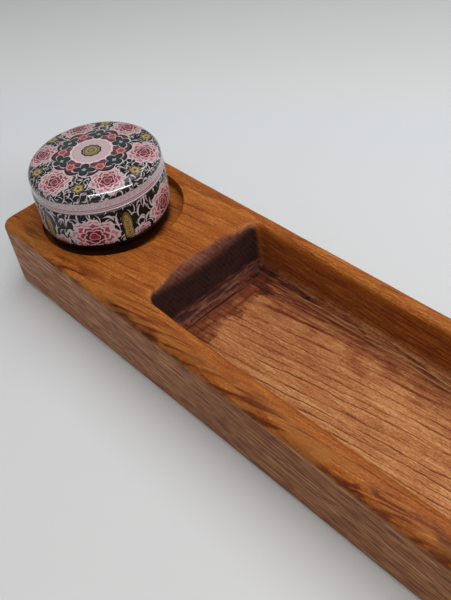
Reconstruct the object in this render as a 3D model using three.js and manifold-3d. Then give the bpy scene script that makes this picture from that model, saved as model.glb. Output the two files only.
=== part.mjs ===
// A catchall tray carved from one hardwood board: a round well at one end holds a lidded candle tin,
// and a long round-cornered trough takes keys, pens and the like.
// Millimetres, +Z up. The origin is the middle of the underside; the trough lies towards +X.
import * as THREE from "three";
import { mergeVertices } from "three/addons/utils/BufferGeometryUtils.js";
import Module from "manifold-3d";

const wasm = await Module();
wasm.setup();

// The candle tin: drawn tinplate, printed outside.
const SHEET = 0.3;
const TIN_RADIUS = 37.75;
const BASE_CORNER = 14; // the wall turns under into the base on this radius
const BASE_FOOT_WIDTH = 1.25; // the flat ring that the tin stands on
const PANEL_SLOPE_WIDTH = 2; // from the foot in to the raised panel
const PANEL_RISE = 1.2;
const LEDGE_HEIGHT = 30.9; // where the wall steps in to the neck
const LEDGE_WIDTH = 1.2;
const LEDGE_ROUND = 0.6;
const NECK_HEIGHT = 7.4;
const RIM_BEAD = 0.8; // radius of the curl round the mouth
const TIN_SIDES = 48;

// The slip lid, which slides over the neck and sits on the ledge.
const LID_CLEARANCE = 0.4; // between the neck and the inside of the skirt
const LID_SEAT_GAP = 0.1;
const HEM_BEAD = 0.5; // radius of the rolled edge
const HEM_CLEARANCE = 0.1; // between the neck and the rolled edge
const LID_CORNER = 5.6;
const LID_CROWN_DEGREES = 9.5; // slope of the crown where it meets the corner

// The candle poured in the tin.
const WAX_GAP = 0.3; // wax shrinks off the tin as it sets
const WAX_CREEP = 1.5; // radius of the fillet where wax climbs the wall
const WAX_CREEP_DEGREES = 60; // how far round that fillet the wax climbs
const WAX_HEADROOM = 1.9; // from the climbing edge to the underside of the ledge
const WICK_RADIUS = 1.1;
const WICK_ABOVE_WAX = 6;
const WICK_GAP = 0.1; // between the wick and the neck that grips it
const TAB_RADIUS = 10;
const TAB_THICK = 0.3;
const TAB_NECK_WALL = 0.6;
const TAB_NECK_HEIGHT = 4;
const WICK_SIDES = 24;

// The well, bored from above.
const WELL_CLEARANCE = 3.5; // round the tin
const WELL_DEPTH = 6.5;
const WELL_EASE = 0.6; // the rim's edge, broken by sanding
const WELL_SIDES = 96;
const TIN_GAP = 0.2; // the tin stands loose in the well, pushed this near to its wall
const TIN_PUSH_DEGREES = 221.5;

// The trough, cut by one round-nosed bit.
const TROUGH_LENGTH = 244;
const TROUGH_DEPTH = 29;
const BIT_RADIUS = 5.5;
const GROOVE_DEPTH = 0.8; // how much deeper the bit ran round the edge than over the floor
const LIP_RADIUS = 4;

// The board, as walls round what is cut from it.
const END_MARGIN = 4.25; // from the end to the well
const SIDE_MARGIN = 9.75; // from each long side to the well
const BRIDGE = 33.25; // from the well to the trough
const FAR_WALL = 16;
const FRONT_WALL = 16;
const BACK_WALL = 9;
const FLOOR_THICK = 15.5;
const CORNER_RADIUS = 8;
const TOP_EASE = 3.3;
const FOOT_EASE = 3;

const WELL_RADIUS = TIN_RADIUS + WELL_CLEARANCE;
const TRAY_WIDTH = 2 * (WELL_RADIUS + SIDE_MARGIN);
const TRAY_LENGTH = END_MARGIN + 2 * WELL_RADIUS + BRIDGE + TROUGH_LENGTH + FAR_WALL;
const TRAY_HEIGHT = FLOOR_THICK + TROUGH_DEPTH;
const WELL_X = -TRAY_LENGTH / 2 + END_MARGIN + WELL_RADIUS;
const WELL_FLOOR = TRAY_HEIGHT - WELL_DEPTH;

// Loops and cutters.
const CORNER_STEPS = 8;
const ARC_STEPS = 6;
const SHARPEST_CORNER = 0.5;
const OVERCUT = 1; // how far a cutter stands out of the face that it cuts

const WOOD = new THREE.MeshStandardMaterial({ color: 0xa5642f, roughness: 0.5, metalness: 0 });
const PRINTED_TIN = new THREE.MeshStandardMaterial({ color: 0x282d2d, roughness: 0.25, metalness: 0.3 });
const PRINTED_LID = new THREE.MeshStandardMaterial({ color: 0xcdb9be, roughness: 0.25, metalness: 0.3 });
const WAX = new THREE.MeshStandardMaterial({ color: 0xf1ead8, roughness: 0.55, metalness: 0 });
const COTTON = new THREE.MeshStandardMaterial({ color: 0xe9e4d6, roughness: 0.9, metalness: 0 });
const TINPLATE = new THREE.MeshStandardMaterial({ color: 0xb9bbbd, roughness: 0.3, metalness: 1 });

// Points [across, up] of an arc about a centre, from one angle to another in degrees.
function arc(across, up, radius, fromDegrees, toDegrees, steps = ARC_STEPS) {
  return Array.from({ length: steps + 1 }, (_, i) => {
    const angle = THREE.MathUtils.degToRad(fromDegrees + ((toDegrees - fromDegrees) * i) / steps);
    return [across + radius * Math.cos(angle), up + radius * Math.sin(angle)];
  });
}

// A solid of revolution about Z. The profile's [radius, height] points run with the material on their left.
function turned(profile, sides) {
  const points = profile.map(([radius, height]) => new THREE.Vector2(Math.max(radius, 0), height));
  return new THREE.LatheGeometry(points, sides).rotateX(Math.PI / 2);
}

// One level of a solid with a rounded-rectangle plan, drawn in from the full outline by an inset.
function roundedLoop({ x0, x1, y0, y1, radius }, inset, height) {
  const corner = Math.max(radius - inset, SHARPEST_CORNER);
  const reach = inset + corner;
  const centres = [
    [x1 - reach, y1 - reach],
    [x0 + reach, y1 - reach],
    [x0 + reach, y0 + reach],
    [x1 - reach, y0 + reach],
  ];
  return centres.flatMap(([x, y], i) =>
    arc(x, y, corner, 90 * i, 90 * i + 90, CORNER_STEPS).map(([px, py]) => [px, py, height]),
  );
}

// A closed solid through a stack of loops, given from the bottom one to the top one.
function lofted(plan, levels) {
  const loops = levels.map(([inset, height]) => roundedLoop(plan, inset, height));
  const count = loops[0].length;
  const last = (loops.length - 1) * count;
  const faces = [];
  for (let level = 0; level < loops.length - 1; level++)
    for (let i = 0; i < count; i++) {
      const a = level * count + i;
      const b = level * count + ((i + 1) % count);
      faces.push(a, b, b + count, a, b + count, a + count);
    }
  for (let i = 1; i < count - 1; i++) faces.push(0, i + 1, i, last, last + i, last + i + 1);
  const geometry = new THREE.BufferGeometry();
  geometry.setAttribute("position", new THREE.Float32BufferAttribute(loops.flat(2), 3));
  geometry.setIndex(faces);
  return geometry;
}

function toSolid(geometry) {
  const bare = geometry.clone().deleteAttribute("normal").deleteAttribute("uv");
  const merged = mergeVertices(bare, 1e-3);
  const vertProperties = merged.attributes.position.array;
  return new wasm.Manifold(new wasm.Mesh({ numProp: 3, vertProperties, triVerts: new Uint32Array(merged.index.array) }));
}

function fromSolid(solid) {
  const { vertProperties, triVerts } = solid.getMesh();
  const geometry = new THREE.BufferGeometry();
  geometry.setAttribute("position", new THREE.BufferAttribute(vertProperties, 3));
  geometry.setIndex(new THREE.BufferAttribute(triVerts, 1));
  geometry.computeVertexNormals();
  return geometry;
}

function piece(name, geometry, material) {
  const mesh = new THREE.Mesh(geometry, material);
  mesh.name = name;
  return mesh;
}

// The board with its corners and edges rounded over.
function boardBlank() {
  const plan = {
    x0: -TRAY_LENGTH / 2,
    x1: TRAY_LENGTH / 2,
    y0: -TRAY_WIDTH / 2,
    y1: TRAY_WIDTH / 2,
    radius: CORNER_RADIUS,
  };
  const foot = arc(FOOT_EASE, FOOT_EASE, FOOT_EASE, 270, 180);
  const top = arc(TOP_EASE, TRAY_HEIGHT - TOP_EASE, TOP_EASE, 180, 90);
  return lofted(plan, [...foot, ...top]);
}

// The trough: a flat floor inside a groove, coved walls and a rounded-over lip.
function troughCutter() {
  const x0 = WELL_X + WELL_RADIUS + BRIDGE;
  const plan = {
    x0,
    x1: x0 + TROUGH_LENGTH,
    y0: -TRAY_WIDTH / 2 + FRONT_WALL,
    y1: TRAY_WIDTH / 2 - BACK_WALL,
    radius: BIT_RADIUS,
  };
  const bitCentre = TRAY_HEIGHT - TROUGH_DEPTH - GROOVE_DEPTH + BIT_RADIUS;
  const floorDegrees = THREE.MathUtils.radToDeg(Math.asin((GROOVE_DEPTH - BIT_RADIUS) / BIT_RADIUS));
  const groove = arc(BIT_RADIUS, bitCentre, BIT_RADIUS, floorDegrees, -90, 4);
  const cove = arc(BIT_RADIUS, bitCentre, BIT_RADIUS, -90, -180).slice(1);
  const lip = arc(-LIP_RADIUS, TRAY_HEIGHT - LIP_RADIUS, LIP_RADIUS, 0, 90);
  return lofted(plan, [...groove, ...cove, ...lip, [-LIP_RADIUS, TRAY_HEIGHT + OVERCUT]]);
}

// The well: a flat-bottomed bore with its rim eased.
function wellCutter() {
  const profile = [
    [0, WELL_FLOOR],
    [WELL_RADIUS, WELL_FLOOR],
    [WELL_RADIUS, TRAY_HEIGHT - WELL_EASE],
    [WELL_RADIUS + WELL_EASE, TRAY_HEIGHT],
    [WELL_RADIUS + WELL_EASE, TRAY_HEIGHT + OVERCUT],
    [0, TRAY_HEIGHT + OVERCUT],
  ];
  return turned(profile, WELL_SIDES).translate(WELL_X, 0, 0);
}

function trayBlock() {
  const blank = toSolid(boardBlank());
  return fromSolid(blank.subtract(toSolid(troughCutter())).subtract(toSolid(wellCutter())));
}

// Radii of the tin's base, from the wall in to the raised panel.
const CORNER_CENTRE = TIN_RADIUS - BASE_CORNER;
const FOOT_INNER = CORNER_CENTRE - BASE_FOOT_WIDTH;
const PANEL_RADIUS = FOOT_INNER - PANEL_SLOPE_WIDTH;
const NECK_RADIUS = TIN_RADIUS - LEDGE_WIDTH;
const BEAD_CENTRE = NECK_RADIUS - RIM_BEAD;
const NECK_TOP = LEDGE_HEIGHT + NECK_HEIGHT;
const TIN_FLOOR = PANEL_RISE + SHEET;

// The tin: a raised base panel, a round-bottomed wall, a stepped neck and a curled rim.
function tinBody() {
  const outside = [
    [0, PANEL_RISE],
    [PANEL_RADIUS, PANEL_RISE],
    [FOOT_INNER, 0],
    ...arc(CORNER_CENTRE, BASE_CORNER, BASE_CORNER, -90, 0, 8),
    ...arc(TIN_RADIUS - LEDGE_ROUND, LEDGE_HEIGHT - LEDGE_ROUND, LEDGE_ROUND, 0, 90, 3),
    [NECK_RADIUS, LEDGE_HEIGHT],
  ];
  const curl = arc(BEAD_CENTRE, NECK_TOP, RIM_BEAD, 0, 270, 9);
  const inside = [
    [NECK_RADIUS - SHEET, NECK_TOP - RIM_BEAD],
    [NECK_RADIUS - SHEET, LEDGE_HEIGHT - SHEET],
    ...arc(TIN_RADIUS - LEDGE_ROUND, LEDGE_HEIGHT - LEDGE_ROUND, LEDGE_ROUND - SHEET, 90, 0, 3),
    ...arc(CORNER_CENTRE, BASE_CORNER, BASE_CORNER - SHEET, 0, -90, 8),
    [FOOT_INNER, SHEET],
    [PANEL_RADIUS, TIN_FLOOR],
    [0, TIN_FLOOR],
  ];
  return turned([...outside, ...curl, ...inside], TIN_SIDES);
}

const SKIRT_INSIDE = NECK_RADIUS + LID_CLEARANCE;
const LID_RADIUS = SKIRT_INSIDE + SHEET;
const LID_BOTTOM = LEDGE_HEIGHT + LID_SEAT_GAP;

// One face of the lid above its skirt, in by an offset: the round corner, then the shallow crown.
// The corner starts level with the middle of the tin's curled rim, so the rim clears it all round.
function lidTop(offset) {
  const crown = THREE.MathUtils.degToRad(LID_CROWN_DEGREES);
  const cornerCentre = LID_RADIUS - LID_CORNER;
  const crownRadius = LID_CORNER + cornerCentre / Math.sin(crown);
  const crownCentre = NECK_TOP - (crownRadius - LID_CORNER) * Math.cos(crown);
  return [
    ...arc(cornerCentre, NECK_TOP, LID_CORNER - offset, 0, 90 - LID_CROWN_DEGREES, 7),
    ...arc(0, crownCentre, crownRadius - offset, 90 - LID_CROWN_DEGREES, 90, 5).slice(1),
  ];
}

// The slip lid: a rolled hem, a straight skirt and a shallow dome.
function tinLid() {
  const hemCentre = NECK_RADIUS + HEM_CLEARANCE + HEM_BEAD;
  const hemHeight = LID_BOTTOM + HEM_BEAD;
  const meets = (radius) => THREE.MathUtils.radToDeg(Math.acos((radius - hemCentre) / HEM_BEAD));
  const profile = [
    ...arc(hemCentre, hemHeight, HEM_BEAD, meets(SKIRT_INSIDE) - 360, meets(LID_RADIUS), 9),
    ...lidTop(0),
    ...lidTop(SHEET).reverse(),
  ];
  return turned([...profile, profile[0]], TIN_SIDES);
}

const WAX_EDGE = LEDGE_HEIGHT - SHEET - WAX_HEADROOM;
const WAX_TOP = WAX_EDGE - WAX_CREEP * (1 - Math.cos(THREE.MathUtils.degToRad(WAX_CREEP_DEGREES)));
const TAB_NECK_INSIDE = WICK_RADIUS + WICK_GAP;
const TAB_NECK_OUTSIDE = TAB_NECK_INSIDE + TAB_NECK_WALL;
const TAB_NECK_TOP = TIN_FLOOR + TAB_NECK_HEIGHT;

// The wax fills the tin round the wick and the metal tab under it.
function candleWax() {
  const wallRadius = TIN_RADIUS - SHEET - WAX_GAP;
  const cornerRadius = BASE_CORNER - SHEET - WAX_GAP;
  const profile = [
    [TAB_RADIUS + WAX_GAP, TIN_FLOOR],
    [PANEL_RADIUS, TIN_FLOOR],
    [FOOT_INNER, SHEET + WAX_GAP],
    ...arc(CORNER_CENTRE, BASE_CORNER, cornerRadius, -90, 0, 8),
    [wallRadius, WAX_EDGE],
    ...arc(wallRadius - WAX_CREEP, WAX_TOP + WAX_CREEP, WAX_CREEP, WAX_CREEP_DEGREES - 90, -90, 4),
    [WICK_RADIUS + WAX_GAP, WAX_TOP],
    [WICK_RADIUS + WAX_GAP, TAB_NECK_TOP + WAX_GAP],
    [TAB_NECK_OUTSIDE + WAX_GAP, TAB_NECK_TOP + WAX_GAP],
    [TAB_NECK_OUTSIDE + WAX_GAP, TIN_FLOOR + TAB_THICK + WAX_GAP],
    [TAB_RADIUS + WAX_GAP, TIN_FLOOR + TAB_THICK + WAX_GAP],
  ];
  return turned([...profile, profile[0]], TIN_SIDES);
}

// The tab: a steel disc on the tin's floor with a crimped neck that holds the wick upright.
function wickTab() {
  const profile = [
    [TAB_NECK_INSIDE, TIN_FLOOR],
    [TAB_RADIUS, TIN_FLOOR],
    [TAB_RADIUS, TIN_FLOOR + TAB_THICK],
    [TAB_NECK_OUTSIDE, TIN_FLOOR + TAB_THICK],
    [TAB_NECK_OUTSIDE, TAB_NECK_TOP],
    [TAB_NECK_INSIDE, TAB_NECK_TOP],
  ];
  return turned([...profile, profile[0]], WICK_SIDES);
}

function candleWick() {
  const top = WAX_TOP + WICK_ABOVE_WAX;
  const ease = WICK_RADIUS / 2;
  const profile = [
    [0, TIN_FLOOR],
    [WICK_RADIUS, TIN_FLOOR],
    ...arc(WICK_RADIUS - ease, top - ease, ease, 0, 90, 3),
    [0, top],
  ];
  return turned(profile, WICK_SIDES);
}

const tray = new THREE.Group();
tray.add(piece("tray_block", trayBlock(), WOOD));

// The candle, its tin and the lid share one upright axis and stand on the well's floor.
const candle = new THREE.Group();
const push = THREE.MathUtils.degToRad(TIN_PUSH_DEGREES);
const offCentre = WELL_CLEARANCE - TIN_GAP;
candle.position.set(WELL_X + offCentre * Math.cos(push), offCentre * Math.sin(push), WELL_FLOOR);
candle.add(piece("tin_body", tinBody(), PRINTED_TIN));
candle.add(piece("tin_lid", tinLid(), PRINTED_LID));
candle.add(piece("candle_wax", candleWax(), WAX));
candle.add(piece("candle_wick", candleWick(), COTTON));
candle.add(piece("wick_tab", wickTab(), TINPLATE));
tray.add(candle);

export default tray;
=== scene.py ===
import math

import bmesh
import bpy
from mathutils import Matrix, Vector, noise


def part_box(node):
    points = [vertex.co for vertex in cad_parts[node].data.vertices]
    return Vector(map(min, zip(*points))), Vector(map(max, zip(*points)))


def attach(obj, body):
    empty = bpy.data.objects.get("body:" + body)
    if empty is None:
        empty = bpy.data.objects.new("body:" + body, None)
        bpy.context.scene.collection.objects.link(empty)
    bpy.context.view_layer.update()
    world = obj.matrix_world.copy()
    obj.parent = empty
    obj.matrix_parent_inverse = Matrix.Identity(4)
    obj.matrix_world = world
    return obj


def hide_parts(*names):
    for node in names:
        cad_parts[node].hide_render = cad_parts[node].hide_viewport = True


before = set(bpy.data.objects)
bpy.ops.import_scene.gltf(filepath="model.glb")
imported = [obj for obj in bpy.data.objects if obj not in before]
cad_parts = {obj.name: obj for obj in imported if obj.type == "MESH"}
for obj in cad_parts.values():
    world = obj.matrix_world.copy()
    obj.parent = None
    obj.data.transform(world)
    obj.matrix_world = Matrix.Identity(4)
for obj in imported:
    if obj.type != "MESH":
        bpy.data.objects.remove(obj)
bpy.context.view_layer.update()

MM = 0.001

# The camera.
# It looks down at the tin's end of the tray from the trough's far end, as a person standing over
# a table does, a little rolled. Its place and turn were solved from the board's own right angles.
CAMERA_PLACE = Vector((191.4, -180.6, 317.4)) * MM
CAMERA_DOWN = math.radians(43.68)
CAMERA_HEADING = math.radians(143.35)
CAMERA_ROLL = math.radians(-9.474)
FOCAL_PIXELS = 795.6
IMAGE_HEIGHT = 600
SENSOR = 36.0

scene = bpy.context.scene
camera = bpy.data.objects.new("camera", bpy.data.cameras.new("camera"))
scene.collection.objects.link(camera)
heading = Matrix.Rotation(CAMERA_HEADING - math.pi / 2, 4, "Z")
tilt = Matrix.Rotation(math.pi / 2 - CAMERA_DOWN, 4, "X")
roll = Matrix.Rotation(CAMERA_ROLL, 4, "Z")
camera.matrix_world = Matrix.Translation(CAMERA_PLACE) @ heading @ tilt @ roll
camera.data.sensor_width = SENSOR
camera.data.lens = SENSOR * FOCAL_PIXELS / IMAGE_HEIGHT
camera.data.clip_start = 0.01
scene.camera = camera
scene.view_settings.view_transform = "Standard"


# The table and the light.
# A pale matt tabletop, painted a little darker to the far left as shade where the light falls off.
# A soft lamp above and behind lights the top faces, a window in front on the right lights the sides,
# and a narrow bright strip of it, which only reflections see, makes the glint on the tin.
MAIN_SETTING = {"MapRange": "interpolation_type", "Mix": "data_type"}


def linear(text):
    """A colour written as sRGB hex, as linear RGBA."""
    channels = [int(text[i:i + 2], 16) / 255 for i in (1, 3, 5)]
    return [c / 12.92 if c <= 0.04045 else ((c + 0.055) / 1.055) ** 2.4 for c in channels] + [1.0]


def fill(socket, value):
    """Links an input to a socket or to a node's first open output, or else sets its value."""
    if isinstance(value, bpy.types.Node):
        value = next(output for output in value.outputs if output.enabled)
    if isinstance(value, bpy.types.NodeSocket):
        tree.links.new(value, socket)
    else:
        socket.default_value = value


def node(kind, *values, stops=(), **settings):
    """Adds a node to the material in hand: its kind and main setting, other settings or inputs by
    name, colour stops, and values for its open inputs in order. Values left over go on to another."""
    name, _, main = kind.partition(" ")
    made = tree.nodes.new("ShaderNode" + name)
    if main:
        setattr(made, MAIN_SETTING.get(name, "operation"), main)
    for key, value in settings.items():
        if key in made.inputs:
            fill(made.inputs[key], value)
        else:
            setattr(made, key, value)
    while stops and len(made.color_ramp.elements) < len(stops):
        made.color_ramp.elements.new(0.5)
    for i, (position, text) in enumerate(stops):
        made.color_ramp.elements[i].position = position
        made.color_ramp.elements[i].color = linear(text)
    ready = [socket for socket in made.inputs if socket.enabled]
    for socket, value in zip(ready, values):
        fill(socket, value)
    rest = values[len(ready):]
    return node(kind, made, *rest, **settings) if rest else made


def material(name):
    """A new material, its node tree and its shader."""
    made = bpy.data.materials.new(name)
    made.use_nodes = True
    return made, made.node_tree, made.node_tree.nodes["Principled BSDF"]


def finish(**inputs):
    """Fills inputs of the shader in hand, with underscores for the spaces in their names."""
    for name, value in inputs.items():
        fill(shader.inputs[name.replace("_", " ")], value)


# Matt white laminate: no shine, only the object's soft shadow and a painted shade that darkens it
# towards the far left as the light falls off. The fade is in mm along its way.
TABLE_SIZE = 6
TABLE_GAP = 0.1 * MM
FADE_WAY = (-0.521, 0.853, 0)
FADE_START, FADE_END = -200, 500
FADE = (
    (-120, "#CFCFCF"), (50, "#D2D3D4"), (240, "#D3D6D8"),
    (300, "#D2D4D4"), (372, "#CACBCB"), (448, "#C1C2C2"),
)
laminate, tree, shader = material("matt_white_tabletop")
fade = [((reach - FADE_START) / (FADE_END - FADE_START), text) for reach, text in FADE]
reach = node("VectorMath DOT_PRODUCT", node("TexCoord").outputs["Object"], FADE_WAY)
reach = node("MapRange LINEAR", reach, FADE_START * MM, FADE_END * MM)
finish(Base_Color=node("ValToRGB", reach, stops=fade), Roughness=0.9, Specular_IOR_Level=0.15)

bpy.ops.mesh.primitive_plane_add(size=TABLE_SIZE, location=(0, 0, -TABLE_GAP))
table = bpy.context.object
table.name = "tabletop"
table.data.materials.append(laminate)


def area_lamp(name, start, end, width, aim, watts):
    """A lamp from one place to another, as wide as asked, that faces what it aims at."""
    lamp = bpy.data.objects.new(name, bpy.data.lights.new(name, "AREA"))
    scene.collection.objects.link(lamp)
    start, end = Vector(start), Vector(end)
    back = ((start + end) / 2 - Vector(aim)).normalized()
    across = (end - start) - (end - start).dot(back) * back
    turn = Matrix((across.normalized(), back.cross(across).normalized(), back)).transposed()
    lamp.matrix_world = Matrix.Translation((start + end) / 2) @ turn.to_4x4()
    lamp.data.shape = "RECTANGLE"
    lamp.data.size, lamp.data.size_y = across.length, width
    lamp.data.energy = watts
    return lamp


LID_PLACE = (-0.147, 0, 0.08)
ROOM_STRENGTH = 0.28
area_lamp("softbox", (-0.5, 0.41, 1.1), (0.5, 0.41, 1.1), width=1.0, aim=(0, 0, 0), watts=8)
area_lamp("window_fill", (0.45, -0.95, 1.36), (1.38, 0.56, 0.6), width=0.4, aim=LID_PLACE, watts=11)
glint = area_lamp("window_glint", (0.35, -0.8, 1.15), (1.15, 0.5, 0.5), width=0.08, aim=LID_PLACE, watts=26)
glint.visible_diffuse = False
world = bpy.data.worlds.new("room")
scene.world = world
world.use_nodes = True
room_light = world.node_tree.nodes["Background"].inputs
room_light["Color"].default_value = linear("#FFFFFF")
room_light["Strength"].default_value = ROOM_STRENGTH

# The carved board.
# One thick board of oiled reddish-brown hardwood with the trunk's grain running lengthwise. The well
# was bored, the trough cut with a round-nosed bit, and every top edge then sanded over by hand.
board_low, board_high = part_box("tray_block")
BOARD_TOP = board_high.z
BOARD_CORNER = 8 * MM
TOP_EASE = 3.3 * MM
FOOT_EASE = 3 * MM

WELL_RADIUS = 41.25 * MM
WELL_X = board_low.x + 45.5 * MM
WELL_DEPTH = 6.5 * MM
WELL_EASE = 0.6 * MM

BIT_RADIUS = 5.5 * MM
TROUGH_LEFT = board_low.x + 120 * MM
TROUGH_RIGHT = board_high.x - 16 * MM
TROUGH_FRONT = board_low.y + 16 * MM
TROUGH_BACK = board_high.y - 9 * MM
TROUGH_FLOOR = 15.5 * MM
GROOVE_DEPTH = 0.8 * MM
GROOVE_FLOOR = TROUGH_FLOOR - GROOVE_DEPTH
TROUGH_LIP = 4 * MM
TINY = 0.02 * MM
CHORD_SLACK = 0.1 * MM


def clear_selection():
    """Leaves edit mode and selects nothing."""
    if bpy.context.mode != "OBJECT":
        bpy.ops.object.mode_set(mode="OBJECT")
    bpy.ops.object.select_all(action="DESELECT")


def alone(piece, mode="OBJECT"):
    """Selects only this piece, makes it active and goes to the mode."""
    clear_selection()
    piece.select_set(True)
    bpy.context.view_layer.objects.active = piece
    bpy.ops.object.mode_set(mode=mode)


def pick(piece, kind, test):
    """In edit mode, selects only the vertices, edges or faces of the piece that pass the test."""
    if bpy.context.mode != "EDIT_MESH":
        alone(piece, "EDIT")
    bpy.ops.mesh.select_mode(type=kind)
    bpy.ops.mesh.select_all(action="DESELECT")
    shape = bmesh.from_edit_mesh(piece.data)
    for element in {"VERT": shape.verts, "EDGE": shape.edges, "FACE": shape.faces}[kind]:
        element.select_set(bool(test(element)))
    shape.select_flush_mode()
    bmesh.update_edit_mesh(piece.data)


def round_over(piece, test, radius, segments):
    """Rounds over the edges that pass the test."""
    pick(piece, "EDGE", test)
    bpy.ops.mesh.bevel(offset=radius, segments=segments, affect="EDGES", clamp_overlap=False)


def upright(edge):
    """Whether an edge stands straight up."""
    a, b = (v.co for v in edge.verts)
    return (a.xy - b.xy).length < TINY < abs(a.z - b.z)


def level_at(height):
    """A test for edges and faces that lie level at a height."""
    return lambda element: all(abs(v.co.z - height) < TINY for v in element.verts)


def block(name, corner_low, corner_high):
    """A block between two corners, ready to be shaped."""
    size = corner_high - corner_low
    clear_selection()
    bpy.ops.mesh.primitive_cube_add(size=1, location=(corner_low + corner_high) / 2, scale=size)
    made = bpy.context.object
    made.name = name
    bpy.ops.object.transform_apply(location=True, rotation=True, scale=True)
    return made


def cut_away(piece, cutter):
    """Takes the cutter's shape out of the piece and removes the cutter."""
    alone(piece)
    cut = piece.modifiers.new("cut", "BOOLEAN")
    cut.operation = "DIFFERENCE"
    cut.solver = "EXACT"
    cut.object = cutter
    bpy.ops.object.modifier_apply(modifier="cut")
    bpy.data.objects.remove(cutter)


def score(place, across):
    """In edit mode, draws a line of vertices round the piece where a plane crosses it."""
    bpy.ops.mesh.select_all(action="SELECT")
    bpy.ops.mesh.bisect(plane_co=place, plane_no=across)


board = block("tray_carved_board", board_low, board_high)
round_over(board, upright, BOARD_CORNER, 10)
round_over(board, level_at(BOARD_TOP), TOP_EASE, 8)
round_over(board, level_at(0), FOOT_EASE, 6)
for middle in (WELL_X, (TROUGH_LEFT + TROUGH_RIGHT) / 2):
    score((middle, 0, 0), (1, 0, 0))

# The trough's cutter: the bit's round nose all along its foot, and a floor that stands a little
# higher than the groove that the bit ran round the edge.
trough_cutter = block(
    "trough_cutter",
    Vector((TROUGH_LEFT, TROUGH_FRONT, GROOVE_FLOOR)),
    Vector((TROUGH_RIGHT, TROUGH_BACK, BOARD_TOP + BIT_RADIUS)),
)
at_foot = level_at(GROOVE_FLOOR)
round_over(trough_cutter, lambda edge: upright(edge) or at_foot(edge), BIT_RADIUS, 8)
pick(trough_cutter, "FACE", at_foot)
climb = math.acos(1 - GROOVE_DEPTH / BIT_RADIUS)
CLIMB_STEPS = 4
for step in range(CLIMB_STEPS):
    before, after = climb * step / CLIMB_STEPS, climb * (step + 1) / CLIMB_STEPS
    bpy.ops.mesh.inset(thickness=BIT_RADIUS * (math.sin(after) - math.sin(before)), depth=0)
    rise = BIT_RADIUS * (math.cos(before) - math.cos(after))
    bpy.ops.transform.translate(value=(0, 0, rise))
cut_away(board, trough_cutter)

clear_selection()
bpy.ops.mesh.primitive_cylinder_add(
    vertices=128, radius=WELL_RADIUS, depth=2 * WELL_DEPTH, location=(WELL_X, 0, BOARD_TOP)
)
cut_away(board, bpy.context.object)


def on_trough_rim(edge):
    """Whether an edge lies round the trough's mouth."""
    middle = (edge.verts[0].co + edge.verts[1].co) / 2
    inside = TROUGH_LEFT - TINY < middle.x < TROUGH_RIGHT + TINY
    inside = inside and TROUGH_FRONT - TINY < middle.y < TROUGH_BACK + TINY
    return level_at(BOARD_TOP)(edge) and inside


def on_well_rim(edge):
    """Whether an edge lies round the well's mouth."""
    spread = [abs((v.co.xy - Vector((WELL_X, 0))).length - WELL_RADIUS) for v in edge.verts]
    return level_at(BOARD_TOP)(edge) and max(spread) < CHORD_SLACK


round_over(board, on_trough_rim, TROUGH_LIP, 8)
round_over(board, on_well_rim, WELL_EASE, 3)

# Hand sanding: fine cuts first, so that the long faces can bend, then each eased edge is taken down
# more here and less there, the front rail most of all, and the walls are left slightly uneven.
SCORE_PITCH = 4 * MM
KEEP_OFF = 8 * MM
for axis, stops in (
    (0, (board_low.x, WELL_X, TROUGH_LEFT, TROUGH_RIGHT, board_high.x)),
    (1, (board_low.y, TROUGH_FRONT, TROUGH_BACK, board_high.y)),
    (2, (0, TROUGH_FLOOR, BOARD_TOP)),
):
    for start, stop in zip(stops, stops[1:]):
        span = stop - start - 2 * KEEP_OFF
        count = math.ceil((span + TINY) / SCORE_PITCH)
        for i in range(count):
            place, across = Vector(), Vector()
            place[axis] = start + KEEP_OFF + max(span, 0) * i / max(count - 1, 1)
            across[axis] = 1
            score(place, across)
bpy.ops.object.mode_set(mode="OBJECT")


def from_outline(point, low, high, corner):
    """How far a point stands outside a rounded rectangle, and the direction straight out of it."""
    offset = point.xy - (low.xy + high.xy) / 2
    reach = Vector(map(abs, offset)) - (high.xy - low.xy) / 2 + Vector((corner, corner))
    if reach.x > 0 and reach.y > 0:
        out, distance = reach.normalized(), reach.length - corner
    else:
        out, distance = Vector((reach.x > reach.y, reach.x <= reach.y)), max(reach) - corner
    return distance, Vector((math.copysign(out.x, offset.x), math.copysign(out.y, offset.y), 0))


def waver(point, length, seed):
    """A smooth random value of about -1 to 1 that changes over a length."""
    return 1.6 * noise.noise(point / length + Vector((seed, 0, 0)))


def between(value, low, high):
    """0 below the low value, 1 above the high one and a smooth rise between them."""
    t = min(max((value - low) / (high - low), 0), 1)
    return t * t * (3 - 2 * t)


trough_low = Vector((TROUGH_LEFT, TROUGH_FRONT, 0))
trough_high = Vector((TROUGH_RIGHT, TROUGH_BACK, 0))


def near_corner(point):
    """1 at a corner of the trough's outline, and 0 from 24 mm away."""
    half = (trough_high.xy - trough_low.xy) / 2
    to_corner = Vector(map(abs, point.xy - trough_low.xy - half)) - half
    return between(-to_corner.length, -24 * MM, -6 * MM)


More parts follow.
